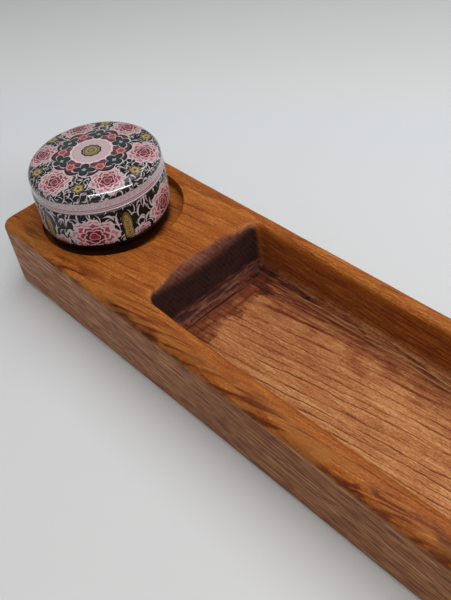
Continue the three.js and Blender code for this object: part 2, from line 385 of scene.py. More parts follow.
# What the sanding takes, in shares of the eased edge: a little everywhere, far more along the front
# rail towards the right and from the end walls' lips, less in the trough's corners, and the slow and
# quick waves of the sander's hand. The walls and the floor wave by a length.
EVEN_WEAR, RAIL_WEAR = 0.05, 0.6
RAIL_WEAR_FROM, RAIL_WEAR_TO = -175 * MM, 60 * MM
EDGE_WAVES, FRONT_WAVES, QUICK_WAVES = 0.09, 0.12, 0.04
LIP_WAVES, QUICK_LIP_WAVES = 0.15, 0.06
LEFT_FRONT_LIP, CORNER_LIP = -0.25, -0.35
END_LIP_WEAR, END_LIP_DROP, END_LIP_WAVES = 0.9, 0.3, 0.26
WALL_WAVES = 0.3 * MM
FLOOR_WAVES = 0.08 * MM
for vertex in board.data.vertices:
    point = vertex.co.copy()
    down = BOARD_TOP - point.z
    flat = Vector((point.x, point.y, 0))
    front = between(-point.y, 0, 25 * MM)
    outward, out = from_outline(point, board_low, board_high, BOARD_CORNER)
    if -TOP_EASE - TINY < outward and down < TOP_EASE + TINY:
        more = EVEN_WEAR + RAIL_WEAR * front * between(point.x, RAIL_WEAR_FROM, RAIL_WEAR_TO)
        slow = (EDGE_WAVES + FRONT_WAVES * front) * waver(flat, 26 * MM, 3.1)
        more += slow + QUICK_WAVES * waver(flat, 8 * MM, 7.7)
        vertex.co += out * outward * more - Vector((0, 0, down * more))
    outward, out = from_outline(point, trough_low, trough_high, BIT_RADIUS)
    if -TINY < outward < TROUGH_LIP + TINY and down < TROUGH_LIP + TINY:
        more = LEFT_FRONT_LIP * between(-30 * MM - point.x, 0, 40 * MM) * front
        more += LIP_WAVES * waver(flat, 22 * MM, 11.3) + QUICK_LIP_WAVES * waver(flat, 7 * MM, 5.9)
        more += CORNER_LIP * near_corner(point)
        more += END_LIP_WAVES * between(out.y, 0.5, 1) * waver(flat, 11 * MM, 31.7)
        at_end = between(abs(out.x), 0, 1) * between(point.y, TROUGH_FRONT - 2 * MM, TROUGH_FRONT + 18 * MM)
        lengthways = Vector((math.copysign(outward, out.x), 0, 0))
        vertex.co += out * outward * more + lengthways * END_LIP_WEAR * at_end
        vertex.co.z -= down * (more + END_LIP_DROP * at_end)
    elif -20 * MM < outward < TINY and TROUGH_LIP < down < BOARD_TOP - GROOVE_FLOOR + GROOVE_DEPTH:
        near = between(outward, -14 * MM, -3 * MM) * between(down, TROUGH_LIP, 2 * TROUGH_LIP)
        vertex.co += out * WALL_WAVES * near * waver(point, 34 * MM, 17.2)
        if point.z < TROUGH_FLOOR + TINY:
            vertex.co.z += FLOOR_WAVES * waver(point, 18 * MM, 23.9)

# The parts of the board that differ to the eye, each as an attribute from 0 to 1.
marked = "end_grain", "trough_floor", "unsanded", "side", "eased", "sawn_end"
for name in marked:
    board.data.attributes.new(name, "FLOAT", "POINT")
marks = {name: board.data.attributes[name].data for name in marked}
for i, vertex in enumerate(board.data.vertices):
    point, normal = vertex.co, vertex.normal
    outward, out = from_outline(point, trough_low, trough_high, BIT_RADIUS)
    inside = between(-outward, -1 * MM, 0)
    to_edge = -from_outline(point, board_low, board_high, BOARD_CORNER)[0]
    facing = between(abs(normal.x), 0.04 + 0.3 * near_corner(point), 0.3 + 0.5 * near_corner(point))
    front_rail = between(normal.z, 0.05, 0.4) * between(-point.y, 20 * MM, 40 * MM)
    marks["end_grain"][i].value = facing * between(-outward, -11 * MM, -9 * MM)
    marks["trough_floor"][i].value = inside * between(-point.z, -TROUGH_FLOOR - 5 * MM, -TROUGH_FLOOR)
    marks["unsanded"][i].value = inside * between(-point.z, TROUGH_LIP - BOARD_TOP, 8 * MM - BOARD_TOP)
    marks["sawn_end"][i].value = between(-to_edge, -1 * MM, 0) * between(abs(normal.x), 0.5, 0.95)
    marks["side"][i].value = between(-to_edge, -0.5 * MM, 0) * between(-normal.z, -0.6, -0.1)
    marks["eased"][i].value = front_rail * between(-to_edge, -12 * MM, -5 * MM)

# Oiled hardwood, as one solid block of grain that every cut shows in its own way: growth rings
# about a pith far below the back edge, thin dark latewood, long fibres and short open pores. Oil
# makes the sanded top warm with a soft shine; torn walls and the end of the grain stay dull.
PITH_Y, PITH_Z = 122.9, -347.2
PITH_SLOPE_Y, PITH_SLOPE_Z = 0.111, -0.003
RING_MM = 1.6
SPELL_MM, SPELL_YEARS = 6, 1.5
LATEWOOD_STARTS, LATEWOOD_FULL, LATEWOOD_ENDS = 0.72, 0.92, 0.96
FIBRE_Y, FIBRE_Z, FEATHER_Y = (-0.08, 1, 0), (0.055, 0, 1), (-0.2, 1, 0)
SWIRL_MM, RIPPLE_MM = (0, 5, 5), (0, 0.9, 0.7)
OILED_ROUGHNESS, TORN_ROUGHNESS = 0.46, 0.8
PORE_RELIEF = 0.12 * MM

wood, tree, shader = material("hand_oiled_reddish_hardwood")
place = node("VectorMath SCALE", node("TexCoord").outputs["Object"], 1 / MM)
x_mm, y_mm, z_mm = node("SeparateXYZ", place).outputs
fibre_y = node("VectorMath DOT_PRODUCT", place, FIBRE_Y)
fibre_z = node("VectorMath DOT_PRODUCT", place, FIBRE_Z)
fibre = node("CombineXYZ", x_mm, fibre_y, fibre_z)
slant = node("CombineXYZ", x_mm, node("VectorMath DOT_PRODUCT", place, FEATHER_Y), z_mm)
on_floor, on_side, end_grain, near_edge, sawn_end, unsanded = (
    node("Attribute", attribute_name=name).outputs["Fac"]
    for name in ("trough_floor", "side", "end_grain", "eased", "sawn_end", "unsanded")
)

# Each layer of uneven colour: what it runs along, its grain's length, width and height in mm, its
# detail, and from where to where it rises. Hairs and pores are twice as coarse as real ones, to show.
layer = {}
for name, way, grain, detail, *rise in (
    ("swirl", place, (170, 32, 32), 2),
    ("ripple", place, (14, 6, 6), 2),
    ("broken_latewood", place, (45, 5, 5), 2, 0.38, 0.58, 0.25, 1),
    ("streaks", fibre, (34, 0.8, 0.7), 3),
    ("hairs", fibre, (9, 0.32, 0.32), 1),
    ("pores", fibre, (9, 0.32, 0.32), 1, 0.57, 0.66),
    ("figure", place, (60, 9, 9), 3),
    ("rough", place, (1.5, 0.6, 0.6), 1),
    ("sheets", fibre, (140, 60, 1.7), 3, 0.5, 0.64),
    ("edge_of_stain", place, (5, 3, 3), 4),
    ("spread_of_stain", place, (13, 11, 9), 4),
    ("stain_across", place, (2.2, 11, 9), 3, 0.3, 0.55, 0.6, 1),
    ("stain_along", fibre, (26, 1.6, 1.6), 3, 0.35, 0.62, 0.35, 1),
    ("cove", place, (36, 8, 8), 2),
    ("broken_line", place, (18, 2.5, 4), 2, 0.36, 0.52),
    ("blotch", place, (7, 6, 4), 4),
    ("torn", place, (1.7, 12, 1.4), 4, 0.4, 0.6),
    ("ruddy", place, (3.5, 4, 2.5), 4, 0.48, 0.64),
    ("patch", place, (26, 9, 9), 4, 0.52, 0.66),
    ("flame", place, (22, 7, 7), 3, 0.42, 0.6),
    ("feather", slant, (36, 1.7, 4), 3, 0.47, 0.62),
    ("broken_feather", place, (30, 14, 14), 1, 0.36, 0.52),
    ("side_lines", fibre, (90, 0.9, 1), 1, 0.4, 0.6),
    ("wall_lines", fibre, (70, 1.5, 1.3), 3, 0.42, 0.6),
):
    layer[name] = node("TexNoise", node("VectorMath DIVIDE", way, grain), 1, detail)
    if rise:
        layer[name] = node("MapRange SMOOTHSTEP", layer[name], *rise)

# Years of growth, counted outwards from the pith, closer in bad spells than in good ones: each one
# ends in a thin dark line of latewood.
swirl = node("VectorMath MULTIPLY_ADD", layer["swirl"].outputs["Color"], SWIRL_MM, place)
swirl = node("VectorMath MULTIPLY_ADD", layer["ripple"].outputs["Color"], RIPPLE_MM, swirl)
sideways = node("Math SUBTRACT", node("VectorMath DOT_PRODUCT", swirl, (-PITH_SLOPE_Y, 1, 0)), PITH_Y)
upwards = node("Math SUBTRACT", node("VectorMath DOT_PRODUCT", swirl, (-PITH_SLOPE_Z, 0, 1)), PITH_Z)
from_pith = node("VectorMath LENGTH", node("CombineXYZ", sideways, upwards))
good_and_bad = node("TexNoise", node("Math DIVIDE", from_pith, SPELL_MM), 1, 1, noise_dimensions="1D")
years = node("Math MULTIPLY_ADD", good_and_bad, SPELL_YEARS, node("Math DIVIDE", from_pith, RING_MM))
season = node("Math FRACT", years)
year = node("TexWhiteNoise", node("Math FLOOR", years), noise_dimensions="1D")
latewood = node(
    "Math MULTIPLY",
    node("MapRange SMOOTHSTEP", season, LATEWOOD_STARTS, LATEWOOD_FULL),
    node("MapRange SMOOTHSTEP", season, 1, LATEWOOD_ENDS),
    node("MapRange SMOOTHSTEP", year, 0, 1, 0.45, 1),
    layer["broken_latewood"],
    node("MapRange SMOOTHSTEP", on_floor, 0, 1, 0.55, 1),
)
spring = node(
    "Math MULTIPLY",
    node("MapRange SMOOTHSTEP", season, 0.3, 0.08),
    node("MapRange SMOOTHSTEP", year.outputs["Color"], 0.3, 0.9),
)
sheets = node("Math MULTIPLY", layer["sheets"], on_side)
tone = -0.48
for part, weight in (
    (layer["figure"], 0.4), (layer["streaks"], 0.8), (layer["hairs"], 0.55), (layer["rough"], 0.55),
    (latewood, -0.5), (spring, 0.08), (layer["pores"], -0.3), (year, 0.1), (sheets, 0.4),
):
    tone = node("Math MULTIPLY_ADD", part, weight, tone)
OILED = (0, "#2A1006"), (0.3, "#66300F"), (0.55, "#8C4818"), (0.78, "#A15B20"), (1, "#BC7A38")
MILLED = (0, "#4E240F"), (0.32, "#703C1E"), (0.54, "#985932"), (0.74, "#B27445"), (0.95, "#CA9862")
oiled, milled = (node("ValToRGB", tone, stops=stops) for stops in (OILED, MILLED))
colour = node("Mix RGBA", on_floor, oiled, milled)

# Oil and dust have darkened the wood along the trough's foot, in broken streaks that follow the
# bit's path. Painted into these bands are a thin highlight where each cove catches the light and, at
# the end wall, a thin shadow line in the groove; the paler lines where the cove meets the back wall
# are painted highlights too.
STAIN_MM = 24
BIT_PATH_MM = 7
WAVER_MM, WAVER_MEAN_MM = 4, 3.8
COVE_LINES_MM, COVE_LINE_PITCH = 4.8, 1.2
edge_of_stain = node("Math MULTIPLY_ADD", layer["streaks"], 0.9, layer["edge_of_stain"])
spread = node("Math MULTIPLY_ADD", layer["spread_of_stain"], 2.4, -1.2)


def wall_band(way, start, stops):
    """A band along one wall of the trough, stained with an uneven edge past the path of the bit. The
    stops it is given also paint a highlight in the cove and a shadow line in the groove.
    """
    distance = node("Math MULTIPLY_ADD", edge_of_stain, WAVER_MM, node("VectorMath DOT_PRODUCT", place, way))
    distance = node("Math ADD", distance, start)
    beyond = node("Math MAXIMUM", node("Math SUBTRACT", distance, BIT_PATH_MM), 0)
    distance = node("Math MULTIPLY_ADD", beyond, spread, distance)
    return node("ValToRGB", node("Math DIVIDE", distance, STAIN_MM), stops=stops)


# Stops out from each wall: mostly stain, with a thin pale stop that is a painted highlight in the cove and,
# at the end wall, a thin dark stop that is a painted shadow line in the groove.
END_STAIN_GLINT_AND_SHADE = (
    (0, "#8A6A5C"), (0.15, "#A08070"), (0.18, "#D8B8A0"), (0.2, "#4A2E24"), (0.26, "#B08878"),
    (0.5, "#C09A86"), (0.62, "#A07A66"), (0.7, "#B89884"), (0.85, "#FFFFFF"),
)
BACK_STAIN_AND_GLINT = (
    (0, "#B09078"), (0.06, "#E8D0B8"), (0.1, "#94705C"), (0.16, "#7A503C"), (0.24, "#A07866"),
    (0.3, "#D0B0A0"), (0.34, "#945A46"), (0.5, "#A06A58"), (0.66, "#CCA694"), (0.92, "#FFFFFF"),
)
end_stain_glint_and_shade = wall_band((1, 0, 0), -TROUGH_LEFT / MM - WAVER_MEAN_MM, END_STAIN_GLINT_AND_SHADE)
back_stain_and_glint = wall_band((0, -1, 0), TROUGH_BACK / MM - WAVER_MEAN_MM, BACK_STAIN_AND_GLINT)
up_cove = node("Math SUBTRACT", TROUGH_BACK / MM - COVE_LINES_MM, y_mm)
up_cove = node("Math MULTIPLY_ADD", layer["cove"], 5, up_cove)
# Painted highlights: pale wavy glint lines along the back cove, where its curve catches the light.
painted_cove_glints = node(
    "Math MULTIPLY",
    node("MapRange SMOOTHSTEP", node("Math PINGPONG", up_cove, COVE_LINE_PITCH), 0.42, 0.12),
    node("MapRange SMOOTHSTEP", up_cove, 6.2, 4.8),
    node("MapRange SMOOTHSTEP", up_cove, 0.2, 0.8),
    node("MapRange SMOOTHSTEP", x_mm, -55, -20, 0.2, 0.85),
    layer["broken_line"],
)

# The end of the grain drinks oil and goes dark, with the cutter's faint slanting lines; the worn lip
# above it, which dips in the middle, and the cove below, where fibres tore, stay rough and reddish.
# The cove's paler red is partly a painted sheen.
HEIGHT_MM = 60
DIP_MIDDLE_MM, DIP_HALF_MM, DIP_MM, DIP_FALL_MM = 4, 36, 3, -4.5
# Colours up the end wall by height: the paler cove at the foot is partly painted sheen.
END_GRAIN = (
    (0.28, "#74422E"), (0.38, "#5A2E20"), (0.405, "#2A0B05"), (0.7, "#220804"), (0.735, "#34150D"),
    (0.77, "#48251A"), (0.81, "#5C3224"), (0.85, "#7C5038"),
)
dip = node("Math DIVIDE", node("Math SUBTRACT", y_mm, DIP_MIDDLE_MM), DIP_HALF_MM)
dip = node("Math MULTIPLY_ADD", node("Math MULTIPLY", dip, dip), DIP_FALL_MM, DIP_MM)
dip = node("Math MULTIPLY", dip, node("MapRange SMOOTHSTEP", z_mm, 28, 36))
height = node("Math ADD", node("Math MULTIPLY_ADD", layer["blotch"], 6, z_mm), dip)
end_colour = node("ValToRGB", node("Math DIVIDE", height, HEIGHT_MM), stops=END_GRAIN)
hatch = node("Math PINGPONG", node("VectorMath DOT_PRODUCT", swirl, (0, 0.8, 0.4)), 1)
hatch = node(
    "Math MULTIPLY",
    node("MapRange SMOOTHSTEP", hatch, 0.2, 1),
    node("MapRange SMOOTHSTEP", layer["blotch"], 0.4, 0.62, 0.1, 0.85),
    node("MapRange SMOOTHSTEP", height, 43, 47, 1, 0.6),
    node("MapRange SMOOTHSTEP", height, 22, 27),
)
torn = node("Math MULTIPLY", layer["torn"], node("MapRange SMOOTHSTEP", height, 28, 22))

# Painted shadow: the floor of the tin's well is darkened in a ring under the tin's rounded foot, where
# shade falls, fading inwards.
RING_OUTSIDE_MM, RING_INSIDE_MM = (39.4, 35.5), (20, 32)
WELL_MOUTH_MM = 40.5, 39.5
tin_low, tin_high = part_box("tin_body")
TIN_X, TIN_Y = (tin_low.x + tin_high.x) / 2, (tin_low.y + tin_high.y) / 2
from_tin = node("VectorMath MULTIPLY_ADD", place, (1, 1, 0), (-TIN_X / MM, -TIN_Y / MM, 0))
from_tin = node("Math MULTIPLY_ADD", layer["blotch"], 3, node("VectorMath LENGTH", from_tin))
painted_tin_shadow = node(
    "Math MULTIPLY",
    node("MapRange SMOOTHSTEP", from_tin, *RING_OUTSIDE_MM),
    node("MapRange SMOOTHSTEP", from_tin, *RING_INSIDE_MM, 0.35, 1),
    node("MapRange SMOOTHSTEP", z_mm, *WELL_MOUTH_MM),
)

# The coats of colour in the order they came: how each goes over the last, its colour, and the
# shares that together say where it lies. The planed sides are painted paler and greyer as a sheen,
# more so to the left, and sanding has browned the front edge in patches.
milled_wall = node("Math SUBTRACT", 1, node("Math MAXIMUM", on_floor, end_grain))
fades_right = node("MapRange SMOOTHSTEP", x_mm, -30, 90, 1, 0.72)
for blend, coat, *shares in (
    ("MULTIPLY", "#EAE2DC", on_floor, node("MapRange SMOOTHSTEP", x_mm, 80, -40)),
    # Stains, with painted cove highlights and a painted groove shadow line in their stops.
    ("MULTIPLY", end_stain_glint_and_shade, on_floor, layer["stain_across"]),
    ("MULTIPLY", back_stain_and_glint, on_floor, layer["stain_along"], fades_right),
    # Painted highlights along the back cove.
    ("MIX", "#B67E4C", on_floor, painted_cove_glints),
    ("MIX", end_colour, end_grain, 0.96),
    ("MULTIPLY", "#6C5046", end_grain, hatch),
    ("MULTIPLY", "#80604E", end_grain, torn),
    ("MULTIPLY", "#E8B0A0", end_grain, layer["ruddy"]),
    # Painted shadow of the tin on the floor of its well.
    ("MULTIPLY", "#54443E", painted_tin_shadow),
    # Painted sheen: the planed sides mixed towards a pale dusty brown for their grey shine.
    ("MIX", "#B88C68", on_side, 0.45),
    ("MIX", "#C4A284", sheets, 0.5),
    ("MULTIPLY", "#9C8064", near_edge, layer["patch"]),
    ("MIX", "#96602A", near_edge, layer["flame"], 0.5),
    ("MULTIPLY", "#AA8664", near_edge, layer["feather"], layer["broken_feather"]),
    ("MULTIPLY", "#BCA08A", on_side, layer["side_lines"]),
    # More painted sheen on the sides towards the left: they darken a little to the right.
    ("MULTIPLY", "#ECE2CC", on_side, node("MapRange SMOOTHSTEP", x_mm, -120, 30)),
    ("MULTIPLY", "#BC9C86", sawn_end),
    ("MULTIPLY", "#D8C2B2", unsanded, milled_wall, layer["wall_lines"]),
):
    share = node("Math MULTIPLY", 1, *shares)
    coat = linear(coat) if isinstance(coat, str) else coat
    colour = node("Mix RGBA", share, colour, coat, blend_type=blend)

rough_cut = node("Math MAXIMUM", end_grain, unsanded)
relief = node("Math MULTIPLY_ADD", latewood, 0.5, layer["streaks"])
relief = node("Math MULTIPLY_ADD", layer["pores"], -0.5, relief)
finish(
    Base_Color=colour,
    Roughness=node("MapRange SMOOTHSTEP", rough_cut, 0, 1, OILED_ROUGHNESS, TORN_ROUGHNESS),
    Specular_IOR_Level=0.13,
    Normal=node("Bump", Height=relief, Strength=0.5, Distance=PORE_RELIEF),
)
board.data.materials.append(wood)

alone(board)
bpy.ops.object.shade_smooth_by_angle(angle=math.radians(30))
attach(board, "tray")
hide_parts("tray_block")

# The tin body.
# A small round candle tin, stamped and drawn from 0.3 mm printed sheet: a raised base panel, a
# rounded bottom corner, a ledge stepped in to a neck, and the mouth's edge curled outwards.
TIN_BASE = tin_low.z
TIN_RADIUS = (tin_high.x - tin_low.x) / 2
SHEET = 0.3 * MM
BASE_CORNER = 14 * MM
BASE_FOOT_WIDTH = 1.25 * MM
PANEL_SLOPE = 2 * MM
PANEL_RISE = 1.2 * MM
PANEL_BEND, PANEL_BEND_DROP = 0.5 * MM, 0.1 * MM
TIN_FLOOR = PANEL_RISE + SHEET
LEDGE_HEIGHT = 30.9 * MM
LEDGE_ROUND = 0.6 * MM
NECK_RADIUS = TIN_RADIUS - 1.2 * MM
NECK_TOP = LEDGE_HEIGHT + 7.4 * MM
NECK_BEND = 0.15 * MM
RIM_BEAD = 0.8 * MM
TURNS = 160


def arc(across, up, radius, start, stop, steps):
    """Points of an arc in a lathe profile, in degrees anticlockwise from straight out."""
    angles = [math.radians(start + (stop - start) * i / steps) for i in range(steps + 1)]
    return [(across + radius * math.cos(a), up + radius * math.sin(a)) for a in angles]


def lathe(name, profile, steps=TURNS):
    """Spins a closed profile of (radius, height) points about the tin's axis and heals its seam."""
    mesh = bpy.data.meshes.new(name)
    points = [(TIN_X + max(radius, 0), TIN_Y, TIN_BASE + height) for radius, height in profile]
    mesh.from_pydata(points, [(i, (i + 1) % len(points)) for i in range(len(points))], [])
    made = bpy.data.objects.new(name, mesh)
    scene.collection.objects.link(made)
    alone(made, "EDIT")
    bpy.ops.mesh.select_all(action="SELECT")
    bpy.ops.mesh.spin(steps=steps, angle=2 * math.pi, center=(TIN_X, TIN_Y, 0), axis=(0, 0, 1))
    bpy.ops.mesh.select_all(action="SELECT")
    bpy.ops.mesh.remove_doubles(threshold=0.01 * MM)
    bpy.ops.mesh.dissolve_degenerate(threshold=0.001 * MM)
    bpy.ops.mesh.normals_make_consistent(inside=False)
    bpy.ops.object.mode_set(mode="OBJECT")
    bpy.ops.object.shade_smooth_by_angle(angle=math.radians(40))
    return made


corner_centre = TIN_RADIUS - BASE_CORNER
foot_inner = corner_centre - BASE_FOOT_WIDTH
panel_radius = foot_inner - PANEL_SLOPE
ledge_centre = TIN_RADIUS - LEDGE_ROUND
outside = [(0, PANEL_RISE), (panel_radius * 0.5, PANEL_RISE), (panel_radius, PANEL_RISE)]
outside += [(panel_radius + PANEL_BEND, PANEL_RISE - PANEL_BEND_DROP)]
outside += [(foot_inner - PANEL_BEND, PANEL_BEND_DROP), (foot_inner, 0)]
outside += arc(corner_centre, BASE_CORNER, BASE_CORNER, -90, 0, 24)
outside += arc(ledge_centre, LEDGE_HEIGHT - LEDGE_ROUND, LEDGE_ROUND, 0, 90, 6)
outside += [(NECK_RADIUS + NECK_BEND, LEDGE_HEIGHT), (NECK_RADIUS, LEDGE_HEIGHT + NECK_BEND)]
curl = arc(NECK_RADIUS - RIM_BEAD, NECK_TOP, RIM_BEAD, 0, 270, 18)
inside = [(NECK_RADIUS - SHEET, NECK_TOP - RIM_BEAD), (NECK_RADIUS - SHEET, LEDGE_HEIGHT - SHEET)]
inside += arc(ledge_centre, LEDGE_HEIGHT - LEDGE_ROUND, LEDGE_ROUND - SHEET, 90, 0, 4)
inside += arc(corner_centre, BASE_CORNER, BASE_CORNER - SHEET, 0, -90, 24)
inside += [(foot_inner, SHEET), (panel_radius, TIN_FLOOR), (0, TIN_FLOOR)]
tin = lathe("tin_drawn_body", outside + curl + inside)

# Printed tinplate: flat bright inks under a clear varnish that throws a hard glint. The pattern is
# made up for this tin: round flowers and gold buds in turn, over small white leaves on black.
WHITE, DARK, BLACK = "#B9A9AC", "#0B1011", "#08090A"
RED, DEEP_RED, PINK, GOLD = "#862832", "#5C1A25", "#B9787D", "#765D32"
VARNISH = dict(Roughness=0.35, Specular_IOR_Level=0.06, Coat_Weight=1, Coat_IOR=1.45, Coat_Roughness=0.02)
WRAP = TIN_RADIUS / MM


def tin_place():
    """Places from the tin's axis and base, in mm."""
    moved = node("VectorMath SUBTRACT", node("TexCoord").outputs["Object"], (TIN_X, TIN_Y, TIN_BASE))
    return node("VectorMath SCALE", moved, 1 / MM)


def polar(x, y):
    """Distance from a point and the turn about it."""
    square = node("Math MULTIPLY_ADD", x, x, node("Math MULTIPLY", y, y))
    return node("Math SQRT", square), node("Math ARCTAN2", y, x)


def fold(turn, times, start):
    """Folds a turn into one of several equal sectors and measures it from the sector's middle."""
    half = math.pi / times
    return node("Math WRAP", node("Math ADD", turn, math.radians(start)), half, -half)


def bloom(ground, x, y, petals, size, notch, stops, twist=0.0, frill=0.0):
    """Prints a flower: petals with round ends, each stop a share of its size and a flat colour."""
    distance, turn = polar(x, y)
    lobe = node("Math ABSOLUTE", node("Math COSINE", node("Math MULTIPLY_ADD", turn, petals / 2, twist)))
    edge = node("Math MULTIPLY_ADD", lobe, notch * size, (1 - notch) * size)
    share = node("Math DIVIDE", distance, edge)
    if frill:
        tooth = node("Math ABSOLUTE", node("Math SINE", node("Math MULTIPLY", turn, petals * 1.5)))
        share = node("Math MULTIPLY_ADD", tooth, frill, share)
    ink = node("ValToRGB", share, stops=(*stops, (1, BLACK)))
    ink.color_ramp.interpolation = "CONSTANT"
    ink.color_ramp.elements[-1].alpha = 0
    return node("Mix RGBA", ink.outputs["Alpha"], ground, ink.outputs["Color"])


def leaves(ground, x, y, size, plump, text):
    """Scatters small pointed leaves of one colour, one to a cell, each turned its own way."""
    spot = node("CombineXYZ", node("Math DIVIDE", x, size), node("Math DIVIDE", y, size))
    cell = node("TexVoronoi", spot, 1, Randomness=0.9, voronoi_dimensions="2D")
    way = node("Math MULTIPLY", cell.outputs["Color"], 2 * math.pi)
    leaf = node("VectorMath SUBTRACT", spot, cell.outputs["Position"])
    leaf = node("VectorRotate", leaf, Angle=way, rotation_type="Z_AXIS")
    lengthways, sideways, _ = node("SeparateXYZ", leaf).outputs
    square = node("Math MULTIPLY", lengthways, lengthways)
    bent = node("Math ADD", node("Math MULTIPLY_ADD", square, -0.9, sideways), 0.12)
    half_width = node("Math MULTIPLY_ADD", square, -2.2 * plump, plump)
    inside = node("Math SUBTRACT", half_width, node("Math ABSOLUTE", bent))
    return node("Mix RGBA", node("MapRange SMOOTHSTEP", inside, -0.02, 0.02), ground, linear(text))


def rose(ground, x, y, size):
    """Prints a full round flower: rings of frilled petals, each red inside a pale edge."""
    for petals, share, notch, twist, frill, fill_text in (
        (8, 1.0, 0.2, 0.3, 0.07, "#AE666D"),
        (7, 0.82, 0.22, 1.1, 0.08, "#983C46"),
        (6, 0.63, 0.24, 0.2, 0.08, RED),
        (5, 0.43, 0.26, 0.9, 0.06, DEEP_RED),
        (3, 0.22, 0.3, 0.7, 0.0, RED),
    ):
        stops = ((0, fill_text), (0.87, WHITE))
        ground = bloom(ground, x, y, petals, size * share, notch, stops, twist, frill)
    return ground


printed_body, tree, shader = material("tin_printed_and_varnished_tinplate")
spot = tin_place()
x, y, up = node("SeparateXYZ", spot).outputs
turn = node("Math ARCTAN2", y, x)
around, tall = node("Math MULTIPLY", turn, WRAP), node("Math MULTIPLY", up, 0.7)
ink = leaves(linear(BLACK), around, tall, 5.4, 0.1, WHITE)
ink = leaves(ink, node("Math ADD", around, 41.7), node("Math ADD", tall, 13.1), 4.1, 0.065, "#BDB3B5")


def spaced(start, height, wide=1.0):
    """Coordinates about the nearest of five evenly spaced points round the wall."""
    return node("Math MULTIPLY", fold(turn, 5, start), WRAP * wide), node("Math SUBTRACT", up, height)


BUD_CASE = (0, "#9A8450"), (0.6, "#5E5226"), (0.84, BLACK)
BUD_SCALE = (0, GOLD), (0.55, "#A08C54"), (0.8, "#3A3018")
ink = bloom(ink, *spaced(15, 17, 2.7), 2, 12.5, 0.4, BUD_CASE, math.pi / 2)
for height in (9.5, 13, 16.5, 20, 23.5):
    ink = bloom(ink, *spaced(15, height, 1.5), 2, 2.5, 0.3, BUD_SCALE, math.pi / 2)
ink = rose(ink, *spaced(3, 9.5), 7)
ink = rose(ink, *spaced(44, 16.6, 0.8), 12.2)
# Black below about 12 mm: partly the print's black ground and partly painted shade where the foot turns under
# into the well.
foot_line = node("Math MULTIPLY_ADD", node("TexNoise", spot, 0.5, 2), 4, up)
ink = node("Mix RGBA", node("MapRange SMOOTHSTEP", foot_line, 12.4, 12), ink, linear(BLACK))
rubbed = node("MapRange SMOOTHSTEP", up, 12, 5)
finish(**VARNISH)
finish(
    Base_Color=ink,
    Specular_IOR_Level=0.1,
    Coat_Weight=node("MapRange SMOOTHSTEP", rubbed, 0, 1, 0.35, 0.05),
)
tin.data.materials.append(printed_body)
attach(tin, "tin")
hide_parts("tin_body")

# The wick's tab.
# A disc pressed from bare tinplate with a drawn neck, crimped in four places on to the wick, and a
# pressed ring that stiffens it. It sits on the tin's floor under the wax.
WICK_RADIUS = 1.1 * MM
TAB_RADIUS = 10 * MM
TAB_THICK = 0.3 * MM
TAB_EASE = 0.1 * MM
TAB_TOP = TIN_FLOOR + TAB_THICK
TAB_NECK_INSIDE = WICK_RADIUS + 0.1 * MM
TAB_NECK_OUTSIDE = TAB_NECK_INSIDE + 0.6 * MM
TAB_NECK_TOP = TIN_FLOOR + 4 * MM
TAB_NECK_FOOT = 0.5 * MM
TAB_NECK_ROUND = 0.3 * MM
CRIMPS, CRIMP_DEPTH = 4, 0.22 * MM
RING_RADIUS, RING_WIDTH, RING_DEPTH = 6.4 * MM, 0.9 * MM, 0.12 * MM
tab_profile = [(TAB_NECK_INSIDE, TIN_FLOOR), (TAB_RADIUS - TAB_EASE, TIN_FLOOR)]
tab_profile += [(TAB_RADIUS, TIN_FLOOR + TAB_EASE), (TAB_RADIUS, TAB_TOP - TAB_EASE)]
tab_profile += [(TAB_RADIUS - TAB_EASE, TAB_TOP)]
tab_profile += [(TAB_RADIUS * (0.94 - 0.06 * i), TAB_TOP) for i in range(10)]
tab_profile += arc(TAB_NECK_OUTSIDE + TAB_NECK_FOOT, TAB_TOP + TAB_NECK_FOOT, TAB_NECK_FOOT, 270, 180, 6)
tab_profile += [(TAB_NECK_OUTSIDE, TAB_TOP + TAB_NECK_FOOT + TAB_NECK_ROUND * i) for i in range(1, 10)]
tab_profile += arc(
    TAB_NECK_OUTSIDE - TAB_NECK_ROUND, TAB_NECK_TOP - TAB_NECK_ROUND, TAB_NECK_ROUND, 0, 180, 8
)
tab = lathe("pressed_wick_tab", tab_profile, 72)
for vertex in tab.data.vertices:
    out = Vector((vertex.co.x - TIN_X, vertex.co.y - TIN_Y, 0))
    height = vertex.co.z - TIN_BASE - TIN_FLOOR
    if height > TAB_THICK + TINY and out.length > TAB_NECK_INSIDE + TAB_NECK_ROUND:
        crimp = max(0, math.cos(CRIMPS * math.atan2(out.y, out.x))) ** 3
        vertex.co -= out.normalized() * CRIMP_DEPTH * crimp * between(height, 1 * MM, 2.2 * MM)
    elif height > TAB_THICK - TINY:
        vertex.co.z -= RING_DEPTH * math.exp(-((out.length - RING_RADIUS) / RING_WIDTH) ** 2)

# Bare tinplate: a dull grey shine, with the faint crystals that the tin coating sets in.
SPANGLE_MM = 1 / 0.7
tab_metal, tree, shader = material("bare_tinplate_pressed")
spot = tin_place()
spangle = node("TexVoronoi", spot, 1 / SPANGLE_MM)
scuffs = node("TexNoise", spot, 1.25, 2)
finish(
    Base_Color=node("ValToRGB", spangle.outputs["Color"], stops=((0, "#A9ABAD"), (1, "#C6C8CA"))),
    Metallic=1,
    Roughness=node("MapRange SMOOTHSTEP", scuffs, 0.3, 0.7, 0.22, 0.4),
)
tab.data.materials.append(tab_metal)
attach(tab, "tin")
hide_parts("wick_tab")

